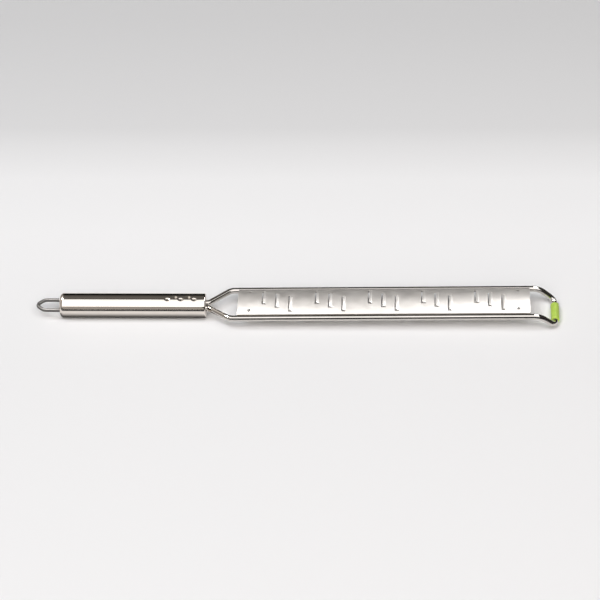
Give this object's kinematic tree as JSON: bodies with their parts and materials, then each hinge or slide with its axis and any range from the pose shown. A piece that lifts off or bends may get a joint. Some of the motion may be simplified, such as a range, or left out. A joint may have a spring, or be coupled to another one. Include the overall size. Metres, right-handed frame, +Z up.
{
  "type": "hand grater",
  "caption": "Long hand grater: an arched steel plate with staggered cutting tongues between two wire rails, a round tube handle, a hanging loop and a green foot.",
  "frame": {"origin": "on the surface the grater rests on, midway along its length and on its middle plane", "axes": "+X from the handle towards the tip, +Y across the plate, +Z up from the resting surface"},
  "size_m": [0.4, 0.0374, 0.019],
  "materials": {
    "polished_steel": "mirror-polished stainless steel, slightly warm",
    "bright_wire": "bright electropolished stainless steel wire",
    "satin_steel": "fine satin stainless steel sheet",
    "green_silicone": "soft matte lime-green silicone"
  },
  "bodies": {
    "root": {"handle_tube": "polished_steel", "front_cap": "polished_steel", "rear_cap": "polished_steel", "hanging_loop": "bright_wire", "frame_wire": "bright_wire", "grating_plate": "satin_steel", "foot_sleeve": "green_silicone"}
  },
  "joints": []
}
